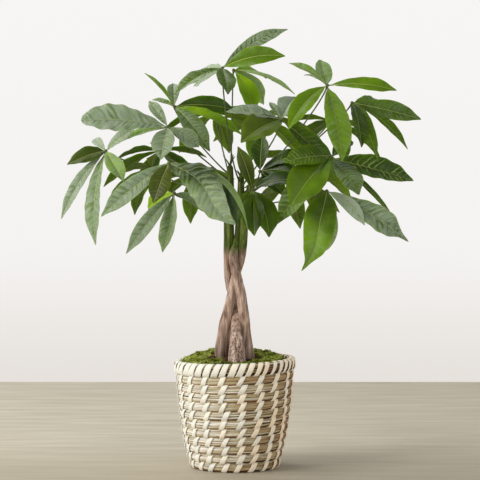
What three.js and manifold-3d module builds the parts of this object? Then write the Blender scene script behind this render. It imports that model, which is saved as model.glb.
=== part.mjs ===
// A potted money tree: three trunks twisted round each other, with hand-shaped leaves on
// long stalks, in a nursery pot of soil inside a coiled rush basket, with moss on top.
//
// Millimetres, +Z up. The origin is the centre of the basket's underside, and the front
// of the plant faces -Y.
import * as THREE from "three";
import { mergeVertices } from "three/addons/utils/BufferGeometryUtils.js";
import Module from "manifold-3d";

const wasm = await Module();
wasm.setup();

// ---- Driving dimensions ----------------------------------------------------------------

const GAP = 0.35; // between pieces that touch

const BASKET_HEIGHT = 149;
const BASKET_WALL = 8;
const BASKET_FLOOR = 8;
const BASKET_FOOT = 1; // the lowest coil starts at this height
const BASKET_EDGE = 5; // how far the rounded bottom edge reaches in
const BASKET_TILT = 2.4; // the rows and the rim rise by this much to the right and fall to the left
const COIL_ROWS = 11;
const COIL_GROOVE = 2.8; // depth of the groove between two coils
const COIL_FLANKS = [0.2, 0.8]; // shares of a row's height between which its face is flat
const COIL_ROUNDING = 0.4; // how far that face lies inside of the row's widest place
const RIM_BAND = 16.5; // height of the wrapped band at the top
const RIM_RADIUS = 83;
const RIM_EDGE = 3; // height of the rounding at the band's two edges
const RIM_WRAPS = 43;
const WRAP_RELIEF = 1.1;
const WRAP_LEAN = 3.5; // a wrap's top is this far to the right of its foot
const STITCH_COLUMNS = 20;
const FIRST_COLUMN = -13; // degrees to the right of the front
const STITCH_WIDTH = 6.6;
const STITCH_SLANT = 5.4; // a stitch's top is this far to the right of its foot
const STITCH_RELIEF = 1.9;
// Radius of the outside below the rim band at each height.
const BASKET_PROFILE = [
  [0, 55],
  [4, 59.5],
  [12, 63],
  [30, 67.5],
  [60, 73.5],
  [90, 77],
  [120, 79.5],
  [149, 81],
];

const POT_HEIGHT = 121;
const POT_BASE_RADIUS = 51;
const POT_TOP_RADIUS = 66;
const POT_LIP_RADIUS = 69;
const POT_LIP_HEIGHT = 9;
const POT_WALL = 1.6;
const DRAIN_HOLES = 4;
const DRAIN_HOLE_RADIUS = 5;
const DRAIN_HOLE_RING = 30;
const SOIL_TOP = 126;
const ROUND_SIDES = 32;

const MOSS_RADIUS = 71.8;
const MOSS_EDGE_TOP = 145;
const MOSS_RISE = 13; // of the mound above its edge, at the back
const MOSS_FRONT_SHARE = 0.1; // of that rise, where the mound is low at the front
const MOSS_SLOPE = [-40, 40]; // the mound climbs between these places along Y
const MOSS_CLUMP = 2;
const MOSS_SIDES = 30;

const TRUNK_SIDES = 10;
const TRUNK_STEP = 13; // height between two rings of a trunk
const TRUNK_FOOT = 112; // the trunks end in the soil at this height
const TRUNK_CLEARANCE = 0.5;

const STALK_RADIUS = 1.3;
const STALK_SIDES = 5;
const STALK_STEPS = 4;
const HUB_RADIUS = 3.2;
const BLADE_START = 1.1; // from the middle of the hub
const BLADE_THICKNESS = 1.4;
const BLADE_STATIONS = [0.2, 0.42, 0.64, 0.84];
const BLADE_CLEARANCE = 1.2;
const BLADE_WIDTH_SHARE = 0.29; // of its length, where a leaflet gives no width
const BLADE_WAVE = 0.06;
// How a leaflet is bent, where it gives nothing else: arch and bow are how far its middle stands
// up and to its side, as shares of its length, roll turns it on its own line, in degrees, full
// moves its widest place towards the tip, fold is the slope of its two halves, and hook bends it
// like an S.
const USUAL_BLADE = { arch: 0.07, bow: 0, roll: 0, full: 1.25, fold: 0.28, hook: 0 };
const BEND_STEP = 8;
const BEND_TRIES = 9;
const BEND_DROP = 14;

// ---- Materials -------------------------------------------------------------------------

const paint = (color, roughness) =>
  new THREE.MeshStandardMaterial({ color, roughness, metalness: 0 });

const RUSH = paint(0x9c8d6c, 0.85);
const POT_PLASTIC = paint(0x2b2b2b, 0.5);
const SOIL = paint(0x2e2219, 1);
const MOSS = paint(0x6f8a24, 1);
const BARK = paint(0x7d6250, 0.8);
const LEAF = paint(0x4f7a1e, 0.45);

// ---- Solids from rings of points ---------------------------------------------------------

const vec = (x, y, z) => new THREE.Vector3(x, y, z);

function solidOf(points, faces) {
  const make = (triangles) =>
    new wasm.Manifold(
      new wasm.Mesh({
        numProp: 3,
        vertProperties: new Float32Array(points.flatMap((p) => [p.x, p.y, p.z])),
        triVerts: new Uint32Array(triangles.flat()),
      }),
    );
  const solid = make(faces);
  return solid.volume() > 0 ? solid : make(faces.map(([a, b, c]) => [a, c, b]));
}

// The triangles between two rings with different counts of points. The walk round them always
// goes on with the ring that lags behind.
function walkFaces(lowStart, lowCount, highStart, highCount) {
  const faces = [];
  let [i, j] = [0, 0];
  while (i < lowCount || j < highCount) {
    const [a, c] = [lowStart + (i % lowCount), highStart + (j % highCount)];
    if ((i + 0.5) / lowCount < (j + 0.5) / highCount) {
      i++;
      faces.push([a, lowStart + (i % lowCount), c]);
    } else {
      j++;
      faces.push([a, highStart + (j % highCount), c]);
    }
  }
  return faces;
}

// Joins a list of rings into one closed solid. A ring of one point is a tip. An open end is
// closed with a flat fan. Between rings with the same count of points the quads' diagonals
// run alternately, so that both faces of a thin blade are split alike.
function loft(rings) {
  const points = rings.flat();
  const starts = [];
  rings.reduce((start, ring) => {
    starts.push(start);
    return start + ring.length;
  }, 0);
  const faces = [];
  for (let r = 0; r + 1 < rings.length; r++) {
    const [low, high] = [rings[r], rings[r + 1]];
    if (low.length > 1 && high.length > 1 && low.length !== high.length) {
      faces.push(...walkFaces(starts[r], low.length, starts[r + 1], high.length));
      continue;
    }
    const count = Math.max(low.length, high.length);
    for (let k = 0; k < count; k++) {
      const next = (k + 1) % count;
      const [a, b] = low.length > 1 ? [starts[r] + k, starts[r] + next] : [starts[r], -1];
      const [c, d] = high.length > 1 ? [starts[r + 1] + k, starts[r + 1] + next] : [starts[r + 1], -1];
      if (b < 0) faces.push([a, d, c]);
      else if (d < 0) faces.push([a, b, c]);
      else if (k % 2 === 0) faces.push([a, b, d], [a, d, c]);
      else faces.push([a, b, c], [b, d, c]);
    }
  }
  const fan = (start, count, turned) => {
    for (let k = 1; k + 1 < count; k++) {
      const [p, q] = [start + k, start + k + 1];
      faces.push(turned ? [start, q, p] : [start, p, q]);
    }
  };
  fan(starts[0], rings[0].length, true);
  fan(starts.at(-1), rings.at(-1).length, false);
  return solidOf(points, faces);
}

// A ring of points round the Z axis. The radius may vary with the angle.
function roundRing(sides, radiusAt, height, start = 0) {
  return Array.from({ length: sides }, (_, k) => {
    const angle = start + (2 * Math.PI * k) / sides;
    const radius = typeof radiusAt === "function" ? radiusAt(angle) : radiusAt;
    return vec(radius * Math.cos(angle), radius * Math.sin(angle), height);
  });
}

function interpolate(table, x) {
  const last = table.length - 1;
  if (x <= table[0][0]) return table[0][1];
  for (let i = 0; i < last; i++) {
    const [[x0, y0], [x1, y1]] = [table[i], table[i + 1]];
    if (x <= x1) return y0 + ((y1 - y0) * (x - x0)) / (x1 - x0);
  }
  return table[last][1];
}

function isClear(solid, others) {
  const own = solid.boundingBox();
  return others.every((other) => {
    const box = other.boundingBox();
    const apart = [0, 1, 2].some((i) => own.max[i] < box.min[i] || box.max[i] < own.min[i]);
    return apart || solid.intersect(other).isEmpty();
  });
}

function solidOfGeometry(geometry) {
  geometry.deleteAttribute("normal");
  geometry.deleteAttribute("uv");
  const merged = mergeVertices(geometry, 1e-4);
  const vertProperties = new Float32Array(merged.attributes.position.array);
  const triVerts = new Uint32Array(merged.index.array);
  return new wasm.Manifold(new wasm.Mesh({ numProp: 3, vertProperties, triVerts }));
}

// ---- Basket ----------------------------------------------------------------------------

const bodyTop = BASKET_HEIGHT - RIM_BAND;
const basketRadius = (height) => interpolate(BASKET_PROFILE, height);

// The angle of a column of stitches. The columns are a little further apart at the right.
function columnAngle(column) {
  const degrees = FIRST_COLUMN + (360 * column) / STITCH_COLUMNS;
  const spread = 1.7 * (1 + Math.sin(((degrees - 10) * Math.PI) / 180));
  return ((degrees + spread - 90) * Math.PI) / 180;
}

// A ring of three points for each column: a stitch's left foot, its crest and its right foot.
function rowRing(radius, height, tilt, relief, slant) {
  return Array.from({ length: 3 * STITCH_COLUMNS }, (_, k) => {
    const place = (k % 3) - 1;
    const angle = columnAngle(Math.floor(k / 3)) + ((place * STITCH_WIDTH) / 2 + slant) / radius;
    const reach = radius + (place === 0 ? relief : 0);
    return vec(reach * Math.cos(angle), reach * Math.sin(angle), height + tilt * Math.cos(angle));
  });
}

// Rows of coiled rush lie on each other. Pale stitches cross each row, one above the other in
// columns, and slant to the right.
function coilRows() {
  const rings = [rowRing(basketRadius(0) - BASKET_EDGE, 0, 0, 0, 0)];
  const rowHeight = (bodyTop - BASKET_FOOT) / COIL_ROWS;
  for (let row = 0; row < COIL_ROWS; row++) {
    const low = BASKET_FOOT + row * rowHeight;
    const tilt = BASKET_TILT * Math.min(1, row / 3);
    const radius = basketRadius(low + rowHeight / 2) - COIL_ROUNDING;
    rings.push(rowRing(basketRadius(low) - COIL_GROOVE, low, tilt, 0, -STITCH_SLANT / 2));
    for (const share of COIL_FLANKS)
      rings.push(rowRing(radius, low + share * rowHeight, tilt, STITCH_RELIEF, (share - 0.5) * STITCH_SLANT));
  }
  rings.push(rowRing(basketRadius(bodyTop) - COIL_GROOVE, bodyTop, BASKET_TILT, 0, 0));
  return rings;
}

// Strips are wound round a bundle of rush at the top, and lean to the right.
function rimBand() {
  const pitch = (2 * Math.PI) / RIM_WRAPS;
  const first = Math.round(columnAngle(0) / pitch);
  const ring = (radius, share, relief) =>
    Array.from({ length: 2 * RIM_WRAPS }, (_, k) => {
      const angle = pitch * (first + k / 2) + ((share - 0.5) * WRAP_LEAN) / radius;
      const reach = radius - (k % 2 ? relief : 0);
      const height = bodyTop + share * RIM_BAND + BASKET_TILT * Math.cos(angle);
      return vec(reach * Math.cos(angle), reach * Math.sin(angle), height);
    });
  const edge = RIM_EDGE / RIM_BAND;
  return [
    ring(RIM_RADIUS, edge, WRAP_RELIEF),
    ring(RIM_RADIUS, 1 - edge, WRAP_RELIEF),
    ring(RIM_RADIUS - BASKET_WALL / 2, 1, 0),
    ring(RIM_RADIUS - BASKET_WALL, 1 - edge, 0),
  ];
}

function basketSolid() {
  const inside = (height) =>
    roundRing(ROUND_SIDES, basketRadius(height) - BASKET_WALL, height, columnAngle(0));
  const heights = [bodyTop, BASKET_HEIGHT / 2, BASKET_FLOOR];
  return loft([...coilRows(), ...rimBand(), ...heights.map(inside)]);
}

// ---- Nursery pot and soil ----------------------------------------------------------------

const potTop = BASKET_FLOOR + GAP + POT_HEIGHT;

// The pot's outer radius at a height above its own underside.
const potRadius = (height) =>
  POT_BASE_RADIUS + ((POT_TOP_RADIUS - POT_BASE_RADIUS) * height) / POT_HEIGHT;

function potSolid() {
  const base = BASKET_FLOOR + GAP;
  const ring = (radius, height) => roundRing(ROUND_SIDES, radius, base + height);
  const lipBase = POT_HEIGHT - POT_LIP_HEIGHT;
  const cup = loft([
    ring(potRadius(0), 0),
    ring(potRadius(lipBase), lipBase),
    ring(POT_LIP_RADIUS, lipBase),
    ring(POT_LIP_RADIUS, POT_HEIGHT),
    ring(potRadius(POT_HEIGHT) - POT_WALL, POT_HEIGHT),
    ring(potRadius(POT_WALL) - POT_WALL, POT_WALL),
  ]);
  return Array.from({ length: DRAIN_HOLES }, (_, k) => {
    const angle = ((k + 0.5) * 2 * Math.PI) / DRAIN_HOLES;
    const [x, y] = [DRAIN_HOLE_RING * Math.cos(angle), DRAIN_HOLE_RING * Math.sin(angle)];
    const round = (height) => roundRing(8, DRAIN_HOLE_RADIUS, base + height).map((p) => p.add(vec(x, y, 0)));
    return loft([round(-2), round(POT_WALL + 2)]);
  }).reduce((pot, hole) => pot.subtract(hole), cup);
}

function soilSolid() {
  const base = BASKET_FLOOR + GAP;
  const inside = (height) => potRadius(height - base) - POT_WALL - GAP;
  const floor = base + POT_WALL + GAP;
  return loft([
    roundRing(ROUND_SIDES, inside(floor), floor),
    roundRing(ROUND_SIDES, inside(SOIL_TOP), SOIL_TOP),
  ]);
}

// ---- Moss --------------------------------------------------------------------------------

// The mound is full to near its edge, low in front of the trunks and higher behind them.
function mossHeight(x, y) {
  const reach = Math.hypot(x, y) / MOSS_RADIUS;
  const climb = THREE.MathUtils.smoothstep(y, ...MOSS_SLOPE);
  const rise = MOSS_RISE * (MOSS_FRONT_SHARE + (1 - MOSS_FRONT_SHARE) * climb) * (1 - reach ** 5);
  const clumps = Math.sin(x * 0.21 + 1.3) * Math.cos(y * 0.19 - 0.4) + 0.6 * Math.sin(x * 0.11 - y * 0.17);
  return MOSS_EDGE_TOP + rise + MOSS_CLUMP * clumps;
}

function mossSolid() {
  const underPot = roundRing(MOSS_SIDES, potRadius(POT_HEIGHT) - POT_WALL - 2, SOIL_TOP + GAP);
  const overLip = potTop + 2 * GAP;
  const rings = [
    underPot,
    roundRing(MOSS_SIDES, potRadius(POT_HEIGHT) - POT_WALL - 1, overLip),
    roundRing(MOSS_SIDES, MOSS_RADIUS - 1, overLip),
    roundRing(MOSS_SIDES, MOSS_RADIUS, (overLip + MOSS_EDGE_TOP) / 2),
  ];
  for (const share of [0.97, 0.84, 0.66, 0.48, 0.3, 0.15]) {
    const ring = roundRing(MOSS_SIDES, share * MOSS_RADIUS, 0);
    rings.push(ring.map((p) => p.setZ(mossHeight(p.x, p.y))));
  }
  rings.push([vec(0, 0, mossHeight(0, 0))]);
  return loft(rings);
}

// ---- Trunks ------------------------------------------------------------------------------

// Each trunk's axis and radius: [x, y, z, radius]. The left one and the right one cross
// in the middle, and the one in front passes between them to the back.
const TRUNKS = {
  trunk_left: [
    [-18.5, 4, TRUNK_FOOT, 9],
    [-18.5, 4, 152, 10.5],
    [-16.5, 4, 175, 9.5],
    [-12.5, 3, 200, 8],
    [-9, 2, 216, 6.2],
    [-3.3, 3, 243, 5.4],
    [1.5, 5, 265, 5.2],
    [7, 6, 282, 5],
    [10.2, 3, 299, 4.9],
    [12, -1, 320, 4.8],
    [13, -2, 342, 4.6],
    [17, 0, 365, 4.2],
    [21, 0, 388, 3.4],
  ],
  trunk_right: [
    [17.5, -2, TRUNK_FOOT, 8],
    [17.5, -2, 150, 10],
    [16, -3, 168, 8.2],
    [14.6, -5, 190, 6.6],
    [12, -9, 215, 6.2],
    [7.7, -10.5, 243, 6],
    [4, -10.5, 258, 5.8],
    [-0.6, -8.5, 277, 5.6],
    [-2.6, -4, 292, 5.2],
    [1.6, 4.5, 306, 4.6],
    [5, 9, 321, 4.6],
    [6.4, 10, 347, 4.5],
    [8, 9, 375, 4],
    [8.4, 8, 399, 3.4],
  ],
  trunk_centre: [
    [2.2, -22, TRUNK_FOOT, 9],
    [2.2, -22, 150, 12],
    [2.2, -20.5, 172, 10],
    [1.6, -16, 190, 6.8],
    [1.2, -6.5, 201, 5],
    [2.6, 4, 211, 4.9],
    [1.6, 13, 220, 4.9],
    [-1.5, 17, 231, 5],
    [-6, 17.5, 244, 5],
    [-8.6, 14, 260, 5],
    [-9.4, 12, 282, 5.6],
    [-8.2, 10.5, 313, 6.3],
    [-7.8, 8, 345, 6],
    [-6.8, 7, 380, 4.8],
    [-6.8, 6, 414, 3.2],
  ],
};

const trunkAxis = (path) => new THREE.CatmullRomCurve3(path.map(([x, y, z]) => vec(x, y, z)));

// The trunk's centre and radius at a height.
function trunkAt(path, height) {
  const curve = trunkAxis(path);
  let [low, high] = [0, 1];
  for (let i = 0; i < 24; i++) {
    const middle = (low + high) / 2;
    if (curve.getPoint(middle).z < height) low = middle;
    else high = middle;
  }
  const radii = path.map(([, , z, radius]) => [z, radius]);
  return { centre: curve.getPoint(low), radius: interpolate(radii, height) };
}

// Low ridges run up the bark, and the top ends in a bud.
function trunkSolid(path, extra = 0) {
  const [foot, top] = [path[0][2], path.at(-1)[2]];
  const count = Math.round((top - foot) / TRUNK_STEP);
  const rings = [];
  for (let i = 0; i <= count; i++) {
    const height = foot + ((top - foot) * i) / count;
    const { centre, radius } = trunkAt(path, height);
    const ridged = (angle) => (radius * (1 + 0.04 * Math.sin(3 * angle + height * 0.05)) + extra);
    rings.push(roundRing(TRUNK_SIDES, ridged, 0).map((p) => p.add(centre)));
  }
  const end = trunkAt(path, top).centre;
  rings.push([vec(end.x, end.y, top + 8)]);
  return loft(rings);
}

// ---- Leaves ------------------------------------------------------------------------------

// Each leaf: the trunk that it grows from and the height of its stalk's foot there, the hub
// where its leaflets meet, and the way its upper side faces. A leaflet is
// [tip x, tip y, tip z, width, bend], with the last two left out where they are the usual.
const FRONT_LEAVES = [
  {
    from: "trunk_centre", foot: 384, hub: [-86, -120, 418], facing: [0.05, -0.8, 0.6],
    leaflets: [
      [-173, -150, 348, 26, { roll: -12 }], [2, -170, 338, 48, { bow: -0.025, full: 1, hook: -0.09 }],
      [-105, -150, 365, 28], [17, -150, 331, 9, { bow: -0.19 }], [5, -125, 335, 44, { bow: -0.05 }],
    ],
  },
  {
    from: "trunk_left", foot: 351, hub: [121, -110, 381], facing: [0, -0.85, 0.5],
    leaflets: [
      [86, -160, 278, 42, { bow: -0.05, full: 0.8, hook: 0.04 }], [105, -110, 292, 36, { bow: -0.07 }],
      [170, -130, 336, 18, { bow: -0.07, roll: 20 }], [229, -110, 314, 34, { full: 1.5 }], [94, -70, 327, 7],
    ],
  },
  {
    from: "trunk_left", foot: 385, hub: [123, -80, 521], facing: [0.1, -0.7, 0.7],
    leaflets: [
      [139, -150, 419, 36, { roll: -10 }], [70, -130, 461, 28, { bow: 0.05, roll: 4 }],
      [214, -100, 513, 22, { full: 1.4, roll: 12 }], [72, -70, 551, 13, { bow: 0.05 }],
      [114, -50, 557, 22, { arch: 0.03, full: 1 }], [94, -20, 538, 10],
    ],
  },
  {
    from: "trunk_left", foot: 361, hub: [126, -100, 427], facing: [-0.2, -0.85, 0.5],
    leaflets: [
      [72, -150, 361, 50, { roll: -5 }], [63, -130, 418, 34, { full: 1.1 }], [57, -95, 338, 36],
    ],
  },
  {
    from: "trunk_left", foot: 343, hub: [24, -80, 382], facing: [0, -0.7, 0.7],
    leaflets: [
      [26, -120, 322, 31, { roll: 15 }], [45, -115, 320, 33, { roll: -15, bow: -0.06 }],
      [58, -100, 337, 22, { roll: -20 }], [86, -110, 395, 27, { arch: 0.12 }],
      [4, -90, 440, 20, { roll: -15 }], [-2, -100, 340, 26],
    ],
  },
  {
    from: "trunk_right", foot: 388, hub: [62, -60, 476], facing: [-0.1, -0.6, 0.8],
    leaflets: [
      [8, -110, 444, 44, { full: 1, roll: -12 }], [-12, -70, 486, 27], [47, -30, 501, 10],
      [84, -10, 509, 32], [135, -60, 401, 34],
    ],
  },
  {
    from: "trunk_centre", foot: 352, hub: [-81, -70, 378], facing: [-0.1, -0.8, 0.6],
    leaflets: [
      [-143, -110, 298, 21, { roll: -22 }], [-96, -90, 299, 25, { roll: 18, bow: -0.04 }],
      [-118, -40, 358, 24, { roll: -15 }], [-40, -30, 352, 22],
    ],
  },
  {
    from: "trunk_centre", foot: 396, hub: [-90, -50, 467], facing: [-0.15, -0.85, 0.5],
    leaflets: [
      [-205, -75, 475, 42, { full: 1.8 }], [-176, 20, 437, 24, { roll: 25 }], [-98, -85, 422, 32],
      [-48, -40, 440, 25, { full: 1.5 }], [-117, -20, 503],
    ],
  },
  {
    from: "trunk_centre", foot: 374, hub: [-176, -20, 435], facing: [-0.2, -0.85, 0.5],
    leaflets: [
      [-228, -30, 416, 25, { full: 0.9 }], [-234, -50, 342, 18, { bow: 0.03 }],
      [-185, -80, 308, 27, { roll: 25, bow: 0.04 }], [-149, -60, 393, 24, { roll: -18 }],
      [-136, -30, 465, 17], [-196, 30, 452, 14],
    ],
  },
  {
    from: "trunk_right", foot: 394, hub: [-17, -30, 547], facing: [0.05, -0.75, 0.65],
    leaflets: [
      [73, -10, 601, 20, { bow: -0.035, roll: 10 }], [68, -60, 561, 27, { bow: -0.04, full: 1.15, roll: 25 }],
      [-81, -60, 509, 25, { bow: 0.04, roll: 20 }], [-9, -95, 508, 27, { roll: -15 }],
      [-57, -5, 523, 30, { arch: 0, roll: 15 }], [-46, 20, 549, 20, { arch: 0 }],
    ],
  },
  {
    from: "trunk_left", foot: 378, hub: [159, -30, 500], facing: [0.25, -0.65, 0.7],
    leaflets: [
      [252, -40, 477, 28, { arch: 0.02, roll: 25 }], [232, -60, 436, 17, { bow: -0.04 }],
      [190, -90, 419, 20, { full: 0.75, roll: 15 }], [167, -100, 438, 27, { roll: -15 }], [215, 50, 489],
    ],
  },
  {
    from: "trunk_left", foot: 367, hub: [131, -20, 425], facing: [0.2, -0.75, 0.6],
    leaflets: [
      [243, -30, 394, 41, { arch: 0.045, bow: 0.025 }], [215, -50, 343, 9],
      [166, -70, 375, 35, { full: 1.6 }], [90, 30, 388], [161, 50, 453],
    ],
  },
  {
    from: "trunk_centre", foot: 405, hub: [-84, 20, 497], facing: [0, -0.6, 0.8],
    leaflets: [
      [-34, -25, 434, 28, { roll: 15 }], [11, 0, 456, 28, { roll: -12 }],
      [1, 35, 492, 27, { arch: 0.04, bow: -0.04, roll: 30 }], [-124, 0, 542, 10],
      [-87, 60, 531, 18], [-116, 40, 507],
    ],
  },
  {
    from: "trunk_left", foot: 372, hub: [34, -30, 407], facing: [0, -0.6, 0.8],
    leaflets: [
      [84, -60, 404, 26, { roll: 15 }], [37, -5, 458, 26, { roll: -20 }],
      [66, -55, 374, 26], [98, -20, 432, 26],
    ],
  },
  {
    from: "trunk_centre", foot: 410, hub: [-2, 50, 549], facing: [0.1, -0.5, 0.85],
    leaflets: [
      [25, 20, 488, 30, { bow: -0.05, full: 1.5 }], [84, 40, 514, 13, { bow: -0.05 }],
      [41, 90, 502, 26, { roll: 60 }], [45, 110, 540],
    ],
  },
];

// At the back the leaflets are spread by a rule, so a leaf only has its longest length.
const BACK_LEAVES = [
  { from: "trunk_centre", foot: 388, hub: [-107, 100, 438], facing: [-0.2, 0.4, 0.9], longest: 100 },
  { from: "trunk_centre", foot: 362, hub: [-118, 75, 412], facing: [-0.4, 0.5, 0.75], longest: 82 },
  { from: "trunk_centre", foot: 400, hub: [-29, 110, 492], facing: [-0.1, 0.4, 0.9], longest: 95 },
  { from: "trunk_centre", foot: 372, hub: [-60, 112, 402], facing: [-0.1, 0.6, 0.8], longest: 90 },
  { from: "trunk_right", foot: 390, hub: [39, 120, 484], facing: [0.1, 0.4, 0.9], longest: 100 },
  { from: "trunk_right", foot: 376, hub: [136, 110, 481], facing: [0.3, 0.3, 0.9], longest: 95 },
  { from: "trunk_left", foot: 374, hub: [94, 98, 428], facing: [0.3, 0.5, 0.8], longest: 100 },
  { from: "trunk_left", foot: 350, hub: [74, 98, 396], facing: [0.1, 0.6, 0.8], longest: 92 },
];

const SPREAD_COUNT = 6;
const SPREAD_ANGLE = 4.4;
const SPREAD_DROOP = 0.3;
const SIDE_LENGTH_SHARE = 0.6; // the outermost leaflet against the middle one

function spreadLeaflets({ hub, facing, longest }) {
  const up = vec(...facing).normalize();
  const centre = vec(...hub);
  const outward = vec(centre.x, centre.y, 0);
  outward.addScaledVector(up, -outward.dot(up)).normalize();
  const across = up.clone().cross(outward);
  return Array.from({ length: SPREAD_COUNT }, (_, k) => {
    const angle = (k / (SPREAD_COUNT - 1) - 0.5) * SPREAD_ANGLE;
    const share = SIDE_LENGTH_SHARE + (1 - SIDE_LENGTH_SHARE) * Math.cos(angle / 2) ** 2;
    const tip = outward.clone().multiplyScalar(Math.cos(angle));
    tip.addScaledVector(across, Math.sin(angle)).addScaledVector(up, -SPREAD_DROOP);
    return centre.clone().addScaledVector(tip.normalize(), share * longest).toArray();
  });
}

// The thin stalk leaves the bark straight outward, with a flat foot, and comes up to the hub
// from the underside of the leaf.
function stalkSolid(leaf) {
  const { centre, radius } = trunkAt(TRUNKS[leaf.from], leaf.foot);
  const hub = vec(...leaf.hub);
  const outward = vec(hub.x - centre.x, hub.y - centre.y, 0).normalize();
  const start = centre.clone().addScaledVector(outward, radius * 1.04 + GAP);
  const reach = start.distanceTo(hub);
  const rise = start.clone().addScaledVector(outward, 0.15 * reach).add(vec(0, 0, 0.12 * reach));
  const arrival = hub.clone().addScaledVector(vec(...leaf.facing).normalize(), -0.16 * reach);
  const curve = new THREE.CubicBezierCurve3(start, rise, arrival, hub);
  const rings = [];
  for (let i = 0; i <= STALK_STEPS; i++) {
    const share = i / STALK_STEPS;
    const ahead = i === 0 ? outward : curve.getTangent(share);
    const side = vec(0, 0, 1).cross(ahead).normalize();
    const up = ahead.clone().cross(side);
    const middle = curve.getPoint(share);
    rings.push(
      roundRing(STALK_SIDES, STALK_RADIUS, 0).map((p) =>
        middle.clone().addScaledVector(side, p.x).addScaledVector(up, p.y),
      ),
    );
  }
  return loft(rings);
}

// The outline of a leaflet: narrow at its foot, widest past its middle, with a long tip.
const bladeOutline = (share, full) => Math.sin(Math.PI * share ** full) ** 0.75;

// A leaflet rises a little from its hub and droops to its tip. Its halves fold up along the
// rib, and its edges wave. A test blade is larger all round and starts clear of its hub.
function bladeSolid(hub, leaflet, facing, test = false) {
  const tip = vec(...leaflet);
  const length = hub.distanceTo(tip);
  const [, , , width = BLADE_WIDTH_SHARE * length, bend = {}] = leaflet;
  const { arch, bow, roll, full, fold, hook } = { ...USUAL_BLADE, ...bend };
  const along = tip.clone().sub(hub).divideScalar(length);
  const up = facing.clone().addScaledVector(along, -facing.dot(along)).normalize();
  const side = along.clone().cross(up);
  const turn = THREE.MathUtils.degToRad(roll);
  const bladeUp = up.clone().applyAxisAngle(along, turn);
  const bladeSide = along.clone().cross(bladeUp);
  const extra = test ? BLADE_CLEARANCE / 2 : 0;
  const at = (share, across, lift) =>
    hub
      .clone()
      .addScaledVector(along, share * length)
      .addScaledVector(up, 4 * arch * length * share * (1 - share))
      .addScaledVector(side, 4 * bow * length * share * (1 - share))
      .addScaledVector(side, hook * length * share * Math.sin(2 * Math.PI * share))
      .addScaledVector(bladeUp, lift)
      .addScaledVector(bladeSide, across);
  const ring = (share, half, thickness) => {
    const wave = BLADE_WAVE * half * Math.sin(11 * share + length);
    return [
      at(share, -half, fold * half + wave),
      at(share, 0, thickness / 2),
      at(share, half, fold * half - wave),
      at(share, 0, -thickness / 2),
    ];
  };
  const start = test ? 0.1 : BLADE_START / length;
  const rings = [ring(start, 0.9 + extra, BLADE_THICKNESS + 2 * extra)];
  for (const share of BLADE_STATIONS)
    rings.push(ring(share, (width / 2) * bladeOutline(share, full) + extra, BLADE_THICKNESS + 2 * extra));
  rings.push([at(1 + extra / length, 0, 0)]);
  return loft(rings);
}

// Where a leaflet's tip may go so that the leaflet clears its neighbours: as it hangs, else
// bent forward or back, and at last also down.
function tipChoices(leaflet) {
  const choices = [leaflet];
  for (const drop of [0, BEND_DROP, 2 * BEND_DROP])
    for (let n = drop ? 0 : 1; n <= BEND_TRIES; n++)
      for (const way of n ? [1, -1] : [1]) {
        const [x, y, z, ...shape] = leaflet;
        choices.push([x, y + way * n * BEND_STEP, z - drop, ...shape]);
      }
  return choices;
}

function leafSolids(others) {
  const leaves = [
    ...FRONT_LEAVES,
    ...BACK_LEAVES.map((leaf) => ({ ...leaf, leaflets: spreadLeaflets(leaf) })),
  ];
  const solids = leaves.map((leaf) => {
    const knob = new THREE.OctahedronGeometry(HUB_RADIUS, 0).translate(...leaf.hub);
    return stalkSolid(leaf).add(solidOfGeometry(knob));
  });
  leaves.forEach((leaf, i) => {
    const hub = vec(...leaf.hub);
    const facing = vec(...leaf.facing).normalize();
    const neighbours = [...others, ...solids.filter((_, k) => k !== i)];
    for (const leaflet of leaf.leaflets) {
      const free = tipChoices(leaflet).find((choice) =>
        isClear(bladeSolid(hub, choice, facing, true), neighbours),
      );
      if (!free) throw new Error(`leaf ${i + 1}: no room for the leaflet to ${leaflet}`);
      solids[i] = solids[i].add(bladeSolid(hub, free, facing));
    }
  });
  return solids;
}

// ---- The whole plant ---------------------------------------------------------------------

function meshOf(name, solid, material) {
  const { numProp, vertProperties, triVerts } = solid.getMesh();
  const geometry = new THREE.BufferGeometry();
  const position = new Float32Array(vertProperties);
  geometry.setAttribute("position", new THREE.BufferAttribute(position, numProp));
  geometry.setIndex(new THREE.BufferAttribute(new Uint32Array(triVerts), 1));
  geometry.computeVertexNormals();
  const mesh = new THREE.Mesh(geometry, material);
  mesh.name = name;
  return mesh;
}

const moneyTree = new THREE.Group();
moneyTree.name = "potted_money_tree";
const add = (name, solid, material) => moneyTree.add(meshOf(name, solid, material));

const trunkNames = Object.keys(TRUNKS);
const trunks = trunkNames.map((name) => trunkSolid(TRUNKS[name]));
// The trunks stand in plain holes in the soil and the moss.
const holes = trunkNames.map((name) => trunkSolid(TRUNKS[name], TRUNK_CLEARANCE));
const withHoles = (solid) => holes.reduce((left, hole) => left.subtract(hole), solid);

add("basket", basketSolid(), RUSH);
add("grow_pot", potSolid(), POT_PLASTIC);
add("soil", withHoles(soilSolid()), SOIL);
add("moss", withHoles(mossSolid()), MOSS);
trunkNames.forEach((name, i) => add(name, trunks[i], BARK));
leafSolids(trunks).forEach((solid, i) => {
  add(`leaf_${String(i + 1).padStart(2, "0")}`, solid, LEAF);
});

export default moneyTree;
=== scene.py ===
"""The looks of a potted money tree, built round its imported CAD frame.

Places and sizes are in millimetres, as in the CAD source, and a mesh is scaled to metres
where it is made. The front of the plant faces -Y, and +X is to the right.
"""

import math
import random

import bpy
import numpy as np
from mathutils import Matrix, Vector, noise


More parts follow.
